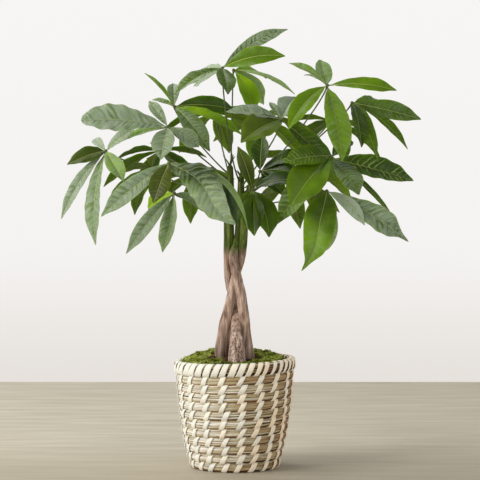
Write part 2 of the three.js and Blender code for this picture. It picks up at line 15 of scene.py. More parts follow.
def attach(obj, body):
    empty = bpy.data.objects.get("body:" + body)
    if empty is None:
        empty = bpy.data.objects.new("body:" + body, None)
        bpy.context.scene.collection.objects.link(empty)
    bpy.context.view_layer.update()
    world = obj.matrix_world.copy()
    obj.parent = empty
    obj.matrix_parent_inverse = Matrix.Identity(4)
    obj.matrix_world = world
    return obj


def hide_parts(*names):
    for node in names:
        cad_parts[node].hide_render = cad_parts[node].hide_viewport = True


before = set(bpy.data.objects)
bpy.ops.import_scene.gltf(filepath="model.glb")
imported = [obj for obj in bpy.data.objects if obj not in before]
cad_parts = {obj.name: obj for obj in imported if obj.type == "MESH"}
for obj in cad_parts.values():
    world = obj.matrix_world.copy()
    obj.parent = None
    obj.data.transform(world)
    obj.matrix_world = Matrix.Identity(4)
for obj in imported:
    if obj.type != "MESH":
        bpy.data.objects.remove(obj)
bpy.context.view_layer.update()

MM = 0.001

# ---- Camera and light ----

CAMERA_PLACE = (7, -2500, 400)
CAMERA_PITCH = 2.0  # degrees below the horizon
CAMERA_LENS = 136.35
# The light of the studio's walls and ceiling, by how far up a way points: 0 is down and 1 is up.
WALLS = (
    (0.44, 0.79, 0.75, 0.71),
    (0.485, 0.915, 0.9, 0.885),
    (0.55, 0.93, 0.915, 0.905),
    (0.725, 0.3, 0.31, 0.32),
)
FLOOR_HALF = 1030


def add_object(name, data):
    made = bpy.data.objects.new(name, data)
    bpy.context.scene.collection.objects.link(made)
    return made


def add_camera():
    camera = bpy.data.cameras.new("camera")
    camera.lens = CAMERA_LENS
    camera.sensor_width = 36
    camera.clip_start = 0.1
    camera.clip_end = 100
    holder = add_object("camera", camera)
    holder.location = Vector(CAMERA_PLACE) * MM
    holder.rotation_euler = (math.radians(90 - CAMERA_PITCH), 0, 0)
    bpy.context.scene.camera = holder


def add_area_light(name, place, target, size, power, colour=(1, 1, 1)):
    """A square soft light. Place, target and size are in metres."""
    light = bpy.data.lights.new(name, "AREA")
    light.size = size
    light.energy = power
    light.color = colour
    holder = add_object(name, light)
    holder.location = place
    holder.rotation_euler = (Vector(target) - Vector(place)).to_track_quat("-Z", "Y").to_euler()


def add_studio():
    """Pale walls all round, a darker ceiling, and soft lights."""
    world = bpy.data.worlds.new("studio")
    world.use_nodes = True
    sky = Nodes(world.node_tree)
    way = sky.node("ShaderNodeTexCoord", {}, output="Generated")
    climb = sky.node("ShaderNodeSeparateXYZ", {0: way}, output=2) * 0.5 + 0.5
    walls = climb.ramp(*WALLS, light=lambda *shares: (*shares, 1), interpolation="EASE")
    sky.put(sky.tree.nodes["Background"].inputs["Color"], walls)
    bpy.context.scene.world = world
    bpy.context.scene.view_settings.view_transform = "Standard"
    middle = (0, 0, 0.35)
    add_area_light("window_light", (-2.2, -1.0, 1.4), middle, 1.8, 66, (1, 0.99, 0.97))
    add_area_light("back_light", (-0.9, 1.1, 2.2), middle, 1.2, 22)
    add_area_light("fill_light", (1.6, -2.0, 1.0), middle, 1.6, 17, (1, 0.97, 0.92))


# ---- Materials ----


def rgb(red, green, blue):
    """A colour as the screen shows it, 0 to 255, as linear light."""
    shares = [value / 255 for value in (red, green, blue)]
    return (*(s / 12.92 if s <= 0.04045 else ((s + 0.055) / 1.055) ** 2.4 for s in shares), 1)


class Value:
    """A node's output. Sums with it make the nodes that work them out."""

    def __init__(self, nodes, socket):
        self.nodes = nodes
        self.socket = socket

    def __add__(self, other):
        return self.nodes.math("ADD", self, other)

    def __sub__(self, other):
        return self.nodes.math("SUBTRACT", self, other)

    def __rsub__(self, other):
        return self.nodes.math("SUBTRACT", other, self)

    def __mul__(self, other):
        return self.nodes.math("MULTIPLY", self, other)

    def __abs__(self):
        return self.nodes.math("ABSOLUTE", self)

    def rise(self, low, high):
        """0 at low and 1 at high, with a soft step between them. Low may be the greater one."""
        span = {0: self, 1: low, 2: high, 3: 0.0, 4: 1.0}
        return self.nodes.node("ShaderNodeMapRange", span, interpolation_type="SMOOTHSTEP")

    def ramp(self, *stops, light=rgb, interpolation="LINEAR"):
        """A colour between stops, each given as its place, red, green and blue."""
        made = self.nodes.tree.nodes.new("ShaderNodeValToRGB")
        made.color_ramp.interpolation = interpolation
        elements = made.color_ramp.elements
        elements.remove(elements[1])
        for number, (position, *colour) in enumerate(stops):
            element = elements.new(position) if number else elements[0]
            element.position = position
            element.color = light(*colour)
        self.nodes.put(made.inputs[0], self)
        return Value(self.nodes, made.outputs[0])


class Nodes:
    """A tree of nodes."""

    def __init__(self, tree):
        self.tree = tree

    def put(self, socket, value):
        if isinstance(value, Value):
            self.tree.links.new(value.socket, socket)
        else:
            socket.default_value = value

    def node(self, kind, values, output=0, **settings):
        made = self.tree.nodes.new(kind)
        for name, value in settings.items():
            setattr(made, name, value)
        for key, value in values.items():
            self.put(made.inputs[key], value)
        return Value(self, made.outputs[output])

    def math(self, operation, a, b=0.0):
        return self.node("ShaderNodeMath", {0: a, 1: b}, operation=operation)


class Paint(Nodes):
    """A material and the nodes that drive it."""

    def __init__(self, name, **surface):
        self.material = bpy.data.materials.new(name)
        self.material.use_nodes = True
        super().__init__(self.material.node_tree)
        self.shader = self.tree.nodes["Principled BSDF"]
        for socket, value in surface.items():
            self.put(self.shader.inputs[socket.replace("_", " ")], value)

    def mark(self, name):
        """A number that the mesh holds at each of its points."""
        return self.node("ShaderNodeAttribute", {}, output="Fac", attribute_name=name)

    def place(self, x=1.0, y=1.0, z=1.0):
        """The place in the row frame, in metres, stretched along each axis."""
        where = self.node("ShaderNodeNewGeometry", {}, output="Position")
        return self.node("ShaderNodeVectorMath", {0: where, 1: (x, y, z)}, operation="MULTIPLY")

    def along(self, axis):
        """The place along one axis, numbered 0 to 2, in metres."""
        return self.node("ShaderNodeSeparateXYZ", {0: self.place()}, output=axis)

    def vector(self, x, y, z):
        return self.node("ShaderNodeCombineXYZ", {0: x, 1: y, 2: z})

    def noise(self, where, scale, detail=3.0, roughness=0.55):
        values = {"Vector": where, "Scale": scale, "Detail": detail, "Roughness": roughness}
        return self.node("ShaderNodeTexNoise", values)

    def mix(self, share, a, b):
        return self.node("ShaderNodeMix", {0: share, 6: a, 7: b}, output=2, data_type="RGBA")

    def colour(self, value):
        self.put(self.shader.inputs["Base Color"], value)

    def roughness(self, value):
        self.put(self.shader.inputs["Roughness"], value)

    def bump(self, height, distance, strength=1.0):
        """Small relief. The distance is in metres."""
        values = {"Height": height, "Distance": distance, "Strength": strength}
        relief = self.node("ShaderNodeBump", values, output="Normal")
        self.put(self.shader.inputs["Normal"], relief)


def leaf_paint(name, upper):
    """One side of a leaflet. Older ones are deep green and younger ones bright, and that green is
    partly painted light: deep as painted shade on shaded leaflets, bright as a painted glow on
    backlit ones. Some are greyed, partly dusty and partly by a painted sheen.
    """
    paint = Paint(
        name,
        Specular_IOR_Level=0.2 if upper else 0.15,
        Subsurface_Weight=0.2,
        Subsurface_Radius=(0.45, 1.0, 0.05),
        Subsurface_Scale=0.002,
    )
    # Beside the greens: a pale colour for the cushions, which is a painted highlight; the pale midrib; and
    # a grey that is partly dusty and partly a painted sheen.
    if upper:
        stops = ((0, 38, 54, 4), (0.4, 78, 104, 8), (0.7, 104, 138, 8), (1, 146, 180, 10))
        cushion_highlight_colour, rib_colour, dust_and_sheen_colour = rgb(150, 166, 100), rgb(160, 176, 98), rgb(150, 162, 140)
    else:
        stops = ((0, 62, 78, 26), (0.5, 94, 118, 26), (1, 140, 168, 34))
        cushion_highlight_colour, rib_colour, dust_and_sheen_colour = rgb(140, 156, 92), rgb(150, 162, 96), rgb(140, 150, 124)
    young, frost, stripes = paint.mark("young"), paint.mark("frost"), paint.mark("stripes")
    blotches = paint.noise(paint.place(), 26, 4)
    # The green is partly the leaflet's age and partly painted light: its deep end is painted shade on
    # shaded leaflets and its bright end a painted glow on backlit ones.
    green = (young + (blotches - 0.5) * 0.7).ramp(*stops)
    green = paint.mix(paint.mark("brown") * 0.8, green, rgb(88, 78, 34))

    # The veins wander a little, and the grey, partly dusty and partly a painted sheen, lies in streaks
    # along them.
    vein, across = paint.mark("vein"), paint.mark("side")
    vein += (paint.noise(paint.vector(vein * 0.45, across, young), 2.4) - 0.5) * 0.9
    streaks = paint.vector(vein * 2.2, across, young)
    cover = (paint.noise(streaks, 1.1, 4, 0.6) * 0.9 + frost * 0.42).rise(0.42, 1.0)
    cover *= frost.rise(0.0, 0.35)
    green = paint.mix(cover, green, dust_and_sheen_colour)

    # Painted shade darkens the creases between the cushions, and a painted highlight runs as a pale broken
    # line along each cushion beside them.
    fraction = paint.math("FRACT", vein)
    inside = paint.mark("edge").rise(0.02, 0.3)
    broken = paint.noise(streaks, 0.9, 3).rise(0.40, 0.62)
    crease_shade = abs(fraction - 0.5).rise(0.28, 0.5) * inside * (1.2 - broken)
    green = paint.mix(crease_shade * stripes * 0.55, green, rgb(46, 62, 14))
    line = abs(fraction - 0.6).rise(0.2, 0.05) * broken * inside
    green = paint.mix(line * stripes * 0.75, green, cushion_highlight_colour)
    rib = 1.0 - paint.mark("rib").rise(0.25, 0.65)
    paint.colour(paint.mix(rib * 0.75, green, rib_colour))

    grain = paint.noise(paint.place(), 900, 2)
    paint.roughness(grain * 0.04 + (0.33 if upper else 0.54) + cover * 0.2)
    paint.bump(grain, 0.0002, 0.1)
    return paint.material


def grained_paint(name, grain, stops, relief, **surface):
    """Tones in one grain, with small relief: its depth in metres and its strength."""
    paint = Paint(name, **surface)
    stretch, *settings = grain
    tone = paint.noise(paint.place(*stretch), *settings)
    paint.colour(tone.ramp(*stops))
    paint.bump(tone, *relief)
    return paint, tone


def stalk_paint():
    stops = (0.3, 46, 58, 20), (0.7, 92, 108, 40)
    return grained_paint("leaf_stalk", ((1, 1, 0.2), 400), stops, (0.0003, 0.4), Roughness=0.5)[0].material


BARK_BROWNS = (0.3, 82, 55, 42), (0.44, 150, 121, 104), (0.56, 194, 169, 151), (0.7, 224, 203, 188)
BARK_GREENS = (0.3, 40, 54, 12), (0.52, 78, 96, 26), (0.72, 136, 150, 74)
# Heights in metres: the bark is dark below the first pair, and turns green over the second.
DARK_FEET = (0.185, 0.148)
GREEN_TOPS = (0.298, 0.316)


def bark_paint():
    """Grey-brown bark with long streaks, speckled where it is marked, and green near the top."""
    paint = Paint("bark", Specular_IOR_Level=0.25)
    streaks = paint.noise(paint.place(1, 1, 0.1), 260, 5, 0.6)
    specks = paint.noise(paint.place(1, 1, 0.7), 610, 3)
    broad = paint.noise(paint.place(1, 1, 0.3), 60, 3)
    spotty = paint.mark("pale")
    height = paint.along(2)
    brown = streaks.ramp(*BARK_BROWNS)
    for share, colour in (
        (broad.rise(0.5, 0.7) * 0.45, rgb(96, 68, 52)),
        (broad.rise(0.46, 0.3) * 0.4, rgb(206, 186, 176)),
        (specks.rise(0.52, 0.66) * 0.5 * spotty, rgb(204, 184, 168)),
        (specks.rise(0.5, 0.38) * 0.85 * spotty, rgb(56, 34, 24)),
        (height.rise(*DARK_FEET) * (0.75 - spotty), rgb(70, 46, 32)),
    ):
        brown = paint.mix(share, brown, colour)
    top = (height + streaks * 0.02).rise(*GREEN_TOPS)
    paint.colour(paint.mix(top, brown, streaks.ramp(*BARK_GREENS)))
    paint.roughness(streaks * 0.3 + 0.5)
    paint.bump(streaks + specks * 0.3, 0.001, 0.6)
    return paint.material


RUSH_TONES = (
    (0.0, 238, 234, 226),
    (0.22, 214, 206, 190),
    (0.42, 180, 168, 126),
    (0.6, 172, 142, 104),
    (0.8, 138, 102, 70),
    (1.0, 56, 38, 26),
)
STITCH_TONES = (0.0, 244, 212, 176), (0.35, 245, 230, 204), (0.65, 238, 232, 216), (1.0, 226, 225, 213)


def fibre_paint(name, stops, scale, relief, streaked):
    """Dry plant strands: fine streaks along each strand, with a tone of its own."""
    paint = Paint(name, Specular_IOR_Level=0.3)
    tone = paint.mark("tone")
    place = paint.vector(paint.mark("run") * scale[0], paint.mark("turn") * scale[1], tone)
    streaks = paint.noise(place, 1.0, 4, 0.6)
    paint.colour((tone + streaks * streaked - streaked / 2).ramp(*stops))
    paint.roughness(streaks * 0.25 + 0.55)
    paint.bump(streaks, relief, 0.6)
    return paint.material


def shade_paint():
    """The inside of a bundle, seen between its strands, painted dark as shade."""
    paint = Paint("rush_core", Roughness=0.95)
    dark = paint.noise(paint.place(1, 1, 3), 240)
    paint.colour(dark.ramp((0.3, 48, 36, 24), (0.7, 92, 74, 50)))
    return paint.material


def moss_paint():
    """Yellow-green on the clumps, dark green between them, and brown where the soil is bare."""
    paint = Paint("moss", Roughness=0.9, Specular_IOR_Level=0.15, Subsurface_Weight=0.1)
    clumps = paint.noise(paint.place(), 70, 4)
    tone = (clumps - 0.12) * 1.95 + paint.mark("tone")
    green = tone.ramp((0.45, 30, 38, 8), (0.62, 70, 90, 14), (0.8, 116, 132, 26), (1.0, 188, 194, 92))
    crumbs = paint.noise(paint.place(), 420, 3)
    soil = crumbs.ramp((0.35, 34, 22, 14), (0.65, 98, 72, 48))
    paint.colour(paint.mix(paint.mark("bare"), green, soil))
    paint.bump(crumbs, 0.001, 0.4)
    return paint.material


def soil_paint():
    stops = (0.35, 28, 18, 12), (0.55, 58, 40, 28), (0.72, 110, 84, 60)
    surface = {"Roughness": 1.0, "Specular_IOR_Level": 0.1}
    return grained_paint("soil", ((1, 1, 1), 380, 5, 0.7), stops, (0.003, 0.8), **surface)[0].material


def plastic_paint():
    stops = (0.3, 24, 24, 25), (0.8, 52, 52, 54)
    surface = {"Specular_IOR_Level": 0.4}
    paint, scuffs = grained_paint("pot_plastic", ((1, 1, 0.3), 160, 4), stops, (0.0003, 0.3), **surface)
    paint.roughness(scuffs * 0.3 + 0.35)
    return paint.material


def floor_paint():
    """A pale table top with a faint grain, a little darker towards its front edge."""
    paint = Paint("floor", Roughness=0.7, Specular_IOR_Level=0.2)
    grain = paint.noise(paint.place(0.4, 3, 1), 14, 5)
    top = grain.ramp((0.3, 186, 177, 156), (0.7, 206, 198, 178))
    front = 1.0 - paint.along(1).rise(-0.1, 0.25)
    paint.colour(paint.mix(front * 0.45, top, rgb(146, 134, 112)))
    return paint.material


# ---- Shapes ----


UP = np.array((0, 0, 1.0))


def unit(vectors):
    return vectors / np.linalg.norm(vectors, axis=-1, keepdims=True)


def toward(angle, rise=0.0):
    """A level step of 1 at an angle, with a rise."""
    return np.array((math.cos(angle), math.sin(angle), rise))


def turns(count):
    """Equal angles all round."""
    return np.arange(count) * 2 * math.pi / count


def noise_at(x, y, z):
    """Smooth noise, from -1 to 1."""
    return noise.noise(Vector((x, y, z)))


def soft_step(value, low, high):
    share = np.clip((value - low) / (high - low), 0, 1)
    return share * share * (3 - 2 * share)


def ripple(angle, rng, waves):
    """A smooth random curve round a circle, mostly between -1 and 1."""
    total = np.zeros_like(angle)
    for wave in waves:
        total += rng.uniform(0.4, 1) * np.sin(wave * angle + rng.uniform(0, 2 * math.pi))
    return total / math.sqrt(len(waves))


def grid_faces(rows, columns, closed_rows=False, closed_columns=False):
    """The quads of a grid of points, given row by row. A closed way joins its end to its start."""
    row = np.arange(rows if closed_rows else rows - 1)[:, None]
    column = np.arange(columns if closed_columns else columns - 1)[None, :]
    next_row = (row + 1) % rows
    next_column = (column + 1) % columns
    corners = (
        row * columns + column,
        row * columns + next_column,
        next_row * columns + next_column,
        next_row * columns + column,
    )
    return np.stack(np.broadcast_arrays(*corners), axis=-1).reshape(-1, 4).tolist()


def tube_faces(rings, sides, pointed=False):
    """The faces of a tube, given ring by ring. It ends flat, or in one last point."""
    faces = grid_faces(rings, sides, closed_columns=True)
    faces.append(list(range(sides))[::-1])
    last = (rings - 1) * sides
    if pointed:
        faces += [[last + k, last + (k + 1) % sides, rings * sides] for k in range(sides)]
    else:
        faces.append([last + k for k in range(sides)])
    return faces


class Shape:
    """Points and faces for one mesh, with a material for each face and marks at each point."""

    def __init__(self):
        self.count = 0
        self.points = []
        self.faces = []
        self.slots = []
        self.marks = {}

    def add(self, points, faces, slot=0, **marks):
        """Faces count from the first of these points."""
        points = np.asarray(points, float).reshape(-1, 3)
        self.faces += [[corner + self.count for corner in face] for face in faces]
        self.slots += [slot] * len(faces)
        for name, value in marks.items():
            values = np.broadcast_to(np.asarray(value, float).reshape(-1), (len(points),))
            self.marks.setdefault(name, []).append((self.count, values))
        self.points.append(points)
        self.count += len(points)

    def build(self, name, materials, slot, *replaced):
        """Makes the object, which rides on the plant and may stand for CAD nodes."""
        mesh = bpy.data.meshes.new(name)
        mesh.from_pydata((np.concatenate(self.points) * MM).tolist(), [], self.faces)
        for material in materials:
            mesh.materials.append(material)
        mesh.polygons.foreach_set("material_index", self.slots)
        mesh.polygons.foreach_set("use_smooth", [True] * len(self.faces))
        for mark, runs in self.marks.items():
            values = np.zeros(self.count, np.float32)
            for start, run in runs:
                values[start : start + len(run)] = run
            mesh.attributes.new(mark, "FLOAT", "POINT").data.foreach_set("value", values)
        mesh.update()
        made = add_object(name, mesh)
        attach(made, "root")
        if replaced:
            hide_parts(*replaced)


def add_tube(shape, path, radii, sides, slot):
    """A round tube along a path, closed at both ends."""
    ahead = unit(np.gradient(path, axis=0))
    side = unit(np.cross(ahead[0], (0.31, 0.17, 0.94)))
    angles = turns(sides)
    rings = []
    for point, direction, radius in zip(path, ahead, np.broadcast_to(radii, len(path))):
        side = unit(side - direction * side.dot(direction))
        up = np.cross(direction, side)
        ring = np.outer(np.cos(angles), side) + np.outer(np.sin(angles), up)
        rings.append(point + radius * ring)
    shape.add(np.concatenate(rings), tube_faces(len(path), sides), slot)


# ---- Basket ----

COIL_ROWS = 11
COIL_FOOT = 1.95
COIL_TOP = 132.5
RIM_TOP = 149.0
BASKET_WALL = 8.0
# Radius of the outside at each height.
BASKET_PROFILE = np.array(
    [(0, 55), (4, 59.5), (12, 63), (30, 67.5), (60, 73.5), (90, 77), (120, 79.5), (149, 81)]
)
BASE_RINGS = 6
BASE_RADIUS = 52.5
BASE_RING_GAP = 8.6
RIM_RADIUS = 83.0
RIM_THICKNESS = 9.6
TILT = 2.4  # the rows and the rim rise by this much to the right and fall to the left
STRANDS = 19
BUNDLE_FLATNESS = 0.65  # a bundle's outer side is flatter than a round one's, which has 1
STRAND_STEPS = 168
STRAND_SECTION = 6
STRAND_HALF_HEIGHT = 0.7
CORE_SECTION = 16
CORE_INSET = 0.9
HIDDEN_TURN = -0.45  # a strand whose turn has a cosine below this faces the pot, and is left out
STITCH_COLUMNS = 20
FIRST_COLUMN = -13.0  # degrees to the right of the front
STITCH_WIDTH = 6.6
STITCH_THICKNESS = 0.85
STITCH_SLANT = 5.4  # a stitch's top is this far to the right of its foot
WRAPS = 43
WRAP_THICKNESS = 0.8
WRAP_LEAN = 0.13  # to the right over its front, as a share of the pitch
# A ribbon's section, as (share of the half width, share of the thickness).
RIBBON_HALF = [(0.3, 1), (0.84, 0.92), (0.97, 0.72), (1, 0), (0.5, -0.3)]
RIBBON_SECTION = np.array([(-across, above) for across, above in RIBBON_HALF[::-1]] + RIBBON_HALF)

ROUND = turns(STRAND_STEPS)


def on_coil(coil, angle, turn, out):
    """A point on a coil: its angle round the basket, its turn round the bundle, and how far out."""
    radius, height, half_thick, half_high, tilt = coil
    flattened = np.sign(np.cos(turn)) * np.abs(np.cos(turn)) ** BUNDLE_FLATNESS
    reach = radius + (half_thick + out) * flattened
    lift = height + tilt * np.cos(angle) + (half_high + out) * np.sin(turn)
    return np.stack([reach * np.cos(angle), reach * np.sin(angle), lift], axis=-1)


def coil_row(row):
    """A row's middle radius, middle height, half thickness, half height and tilt."""
    high = (COIL_TOP - COIL_FOOT) / COIL_ROWS
    middle = COIL_FOOT + (row + 0.5) * high
    outside = np.interp(middle, *BASKET_PROFILE.T)
    half_thick = BASKET_WALL / 2
    return outside - half_thick - 0.3, middle, half_thick, high / 2 - 0.1, TILT * min(1, row / 3)


def rim_coil():
    half_high = (RIM_TOP - COIL_TOP) / 2 - WRAP_THICKNESS
    half_thick = RIM_THICKNESS / 2 - WRAP_THICKNESS
    return RIM_RADIUS - RIM_THICKNESS / 2, (RIM_TOP + COIL_TOP) / 2, half_thick, half_high, TILT


def add_bundle(shape, coil, seed, count=STRANDS, tone_shift=0.0):
    """A core painted dark as the shade inside, and strands laid side by side round it that wander and
    change their colour.
    """
    angle, turn = np.meshgrid(ROUND, turns(CORE_SECTION), indexing="ij")
    faces = grid_faces(STRAND_STEPS, CORE_SECTION, closed_rows=True, closed_columns=True)
    shape.add(on_coil(coil, angle, turn, -CORE_INSET), faces, 2)
    rng = random.Random(seed)
    section = turns(STRAND_SECTION)
    faces = grid_faces(STRAND_STEPS, STRAND_SECTION, closed_rows=True, closed_columns=True)
    radial = np.stack([np.cos(ROUND), np.sin(ROUND), np.zeros(STRAND_STEPS)], axis=-1)
    for k in range(count):
        place = 2 * math.pi * k / count
        turn = 2 * math.pi * (k + rng.uniform(-0.2, 0.2)) / count + 0.08 * ripple(ROUND, rng, (1, 3, 5, 8))
        out = -0.2 + 0.25 * ripple(ROUND, rng, (2, 5, 9))
        half_wide = rng.uniform(0.85, 1.25) * (1 + 0.14 * ripple(ROUND, rng, (4, 7, 13)))
        if math.cos(place) < HIDDEN_TURN:
            continue
        normal = np.cos(turn)[:, None] * radial + np.sin(turn)[:, None] * UP
        tangent = np.cos(turn)[:, None] * UP - np.sin(turn)[:, None] * radial
        high = STRAND_HALF_HEIGHT * np.cos(section)[None, :, None]
        wide = (half_wide[:, None] * np.sin(section))[..., None]
        middle = on_coil(coil, ROUND, turn, out)
        points = middle[:, None] + high * normal[:, None] + wide * tangent[:, None]
        # Strands on the underside of a bundle, in the gap between rows, are painted darker: painted shade.
        gap_shade = 0.45 if math.sin(place) < -0.7 else 0
        shape.add(
            points,
            faces,
            tone=np.repeat(strand_tone(rng) + tone_shift + gap_shade, STRAND_SECTION),
            run=np.repeat(ROUND * coil[0], STRAND_SECTION),
            turn=np.tile(np.sin(section), STRAND_STEPS) * 1.5 + 7 * k,
        )


def strand_tone(rng):
    """From 0, pale grey, to 1, brown. The front is paler at its left and browner at its right, partly
    in the rush's own colour and partly as painted light: paler where the window light falls on the
    left, and darker as painted shade on the right.
    """
    # Painted light in part: the tone falls on the lit left and rises into painted shade on the right.
    broad = 0.36 + 0.26 * np.cos(ROUND + 0.12)
    lengths = np.zeros(STRAND_STEPS)
    place = 0
    value = rng.gauss(0, 0.14)
    while place < STRAND_STEPS:
        span = rng.randint(8, 40)
        lengths[place : place + span] = value
        value = rng.gauss(0, 0.14)
        place += span
    smooth = np.convolve(np.r_[lengths[-2:], lengths, lengths[:2]], np.ones(5) / 5, "valid")
    return np.clip(broad + smooth, 0, 1)


def column_angle(column):
    """A stitch column's angle. The columns are a little further apart at the right."""
    degrees = FIRST_COLUMN + 360 * column / STITCH_COLUMNS
    degrees += 1.7 * (1 + math.sin(math.radians(degrees - 10)))
    return math.radians(degrees - 90)


def add_ribbon(shape, coil, angle, turn, out, half_width, thickness, tone):
    """A flat strip laid round a coil, with its crowned face turned outward."""
    path = on_coil(coil, angle, turn, out)
    outward = on_coil(coil, angle, turn, out + 1) - path
    ahead = unit(np.gradient(path, axis=0))
    side = unit(np.cross(ahead, outward))
    outward = np.cross(side, ahead)
    across = half_width * RIBBON_SECTION[:, 0]
    above = thickness * RIBBON_SECTION[:, 1]
    points = path[:, None] + side[:, None] * across[:, None] + outward[:, None] * above[:, None]
    run = np.concatenate([[0], np.cumsum(np.linalg.norm(np.diff(path, axis=0), axis=1))])
    count = len(RIBBON_SECTION)
    faces = tube_faces(len(path), count)
    marks = {"run": np.repeat(run, count), "turn": np.tile(across, len(path))}
    shape.add(points, faces, 1, tone=min(1, max(0.05, tone)), **marks)


def add_stitches(shape, coil, row):
    """Slanted stitches that bind a row to the one below. They lean more at the right."""
    rng = random.Random(900 + row)
    turn = np.radians(np.linspace(-118, 112, 21))
    out = 1.3 - 2.4 * soft_step(np.abs(turn), 1.2, 1.95)
    for column in range(STITCH_COLUMNS):
        middle = column_angle(column) + rng.gauss(0, 1.1) / coil[0]
        rightward = math.cos(middle)
        slant = (STITCH_SLANT * (1.3 + 0.3 * rightward) + rng.gauss(0, 0.8)) / coil[0]
        half_width = STITCH_WIDTH / 2 * rng.uniform(0.86, 1.12)
        tone = 0.62 - 0.34 * rightward + rng.gauss(0, 0.12)
        angle = middle + slant * np.sin(turn) / 2
        add_ribbon(shape, coil, angle, turn, out, half_width, STITCH_THICKNESS, tone)


def add_wraps(shape, coil):
    """Strips wound round the rim bundle. They touch at the left and stand apart at the right."""
    rng = random.Random(41)
    pitch = 2 * math.pi / WRAPS
    turn = np.linspace(-2.9, 3.5, 44)
    for k in range(WRAPS):
        start = pitch * (k + rng.gauss(0, 0.07))
        rightward = math.cos(start)
        lean = rng.uniform(0.85, 1.2) * turn / (2 * math.pi) + WRAP_LEAN * np.sin(turn)
        out = 0.55 + rng.uniform(0, 0.35)
        half_width = 3.75 - 1.15 * rightward + rng.gauss(0, 0.25)
        tone = 0.66 - 0.3 * rightward + rng.gauss(0, 0.1)
        add_ribbon(shape, coil, start + pitch * lean, turn, out, half_width, WRAP_THICKNESS, tone)


def make_basket():
    rush = fibre_paint("rush", RUSH_TONES, scale=(0.06, 1.6), relief=0.0006, streaked=0.9)
    stitch = fibre_paint("stitch", STITCH_TONES, scale=(0.08, 2.2), relief=0.0004, streaked=0.5)
    materials = [rush, stitch, shade_paint()]
    for row in range(COIL_ROWS):
        shape = Shape()
        coil = coil_row(row)
        add_bundle(shape, coil, row)
        add_stitches(shape, coil, row)
        shape.build(f"basket_row_{row + 1:02d}", materials, "rush", *(["basket"] if row == 0 else []))
    rim = Shape()
    add_bundle(rim, rim_coil(), 77, 16, 0.25)
    add_wraps(rim, rim_coil())
    rim.build("basket_rim", materials, "rush")
    base = Shape()
    for k in range(BASE_RINGS):
        coil = (BASE_RADIUS - BASE_RING_GAP * (k + 0.5), 5.0, BASE_RING_GAP / 2 + 0.2, 3.5, 0)
        add_bundle(base, coil, 200 + k, 10)
    base.build("basket_base", materials, "rush")


# ---- Moss ----

MOSS_RADIUS = 71.8
MOSS_EDGE_TOP = 145.0
MOSS_RISE = 13.0  # of the mound above its edge, at the back
MOSS_FRONT_SHARE = 0.1  # of that rise, where the mound is low at the front
MOSS_CLUMP = 2.0
MOSS_FOOT = 130.0
MOSS_TUFTS = 3300
TUFT_FRONDS = 6
BARE_FRONT = 7  # the bare soil reaches this much further in front of the trunks


def moss_height(x, y):
    reach = np.hypot(x, y) / MOSS_RADIUS
    share = MOSS_FRONT_SHARE + (1 - MOSS_FRONT_SHARE) * soft_step(y, -40, 40)
    rise = MOSS_RISE * share * (1 - reach**5)
    clumps = np.sin(x * 0.21 + 1.3) * np.cos(y * 0.19 - 0.4) + 0.6 * np.sin(x * 0.11 - y * 0.17)
    return MOSS_EDGE_TOP + rise + MOSS_CLUMP * clumps


def moss_bump(x, y):
    """Smaller cushions on the mound, in millimetres."""
    return 1.6 * noise_at(x * 0.13, y * 0.13, 3.1) + 0.8 * noise_at(x * 0.42, y * 0.42, 8.4)


def bare_share(trunks, x, y):
    """How bare the soil is: wholly so at the trunks, and in patches in front of them."""
    gap = min(trunk.distance(x, y) for trunk in trunks)
    patchy = 5 * noise_at(x * 0.09, y * 0.09, 5.5)
    front = BARE_FRONT if y < 0 else 0
    return 1 - soft_step(gap + patchy, 1 + front, 4 + 1.6 * front)


def make_moss(trunks):
    material = moss_paint()
    bed = Shape()
    rings, sides = 34, 110
    points = []
    for ring in range(rings):
        radius = MOSS_RADIUS * (1 - ring / rings) ** 0.85
        for side in range(sides):
            angle = 2 * math.pi * side / sides
            x, y = radius * math.cos(angle), radius * math.sin(angle)
            lift = moss_height(x, y) + moss_bump(x, y)
            points.append((x, y, MOSS_FOOT if ring == 0 else lift - (2.5 if ring == 1 else 0)))
    points.append((0, 0, moss_height(0, 0)))
    bare = [bare_share(trunks, x, y) for x, y, _ in points]
    bed.add(points, tube_faces(rings, sides, pointed=True), tone=-0.06, bare=bare)
    bed.build("moss_bed", [material], "moss", "moss")

    rng = random.Random(5)
    tufts = Shape()
    made = 0
    while made < MOSS_TUFTS:
        x, y = rng.uniform(-MOSS_RADIUS, MOSS_RADIUS), rng.uniform(-MOSS_RADIUS, MOSS_RADIUS)
        if math.hypot(x, y) > MOSS_RADIUS or rng.random() < bare_share(trunks, x, y) + 0.1:
            continue
        made += 1
        add_tuft(tufts, x, y, rng)
    tufts.build("moss_tufts", [material], "moss")


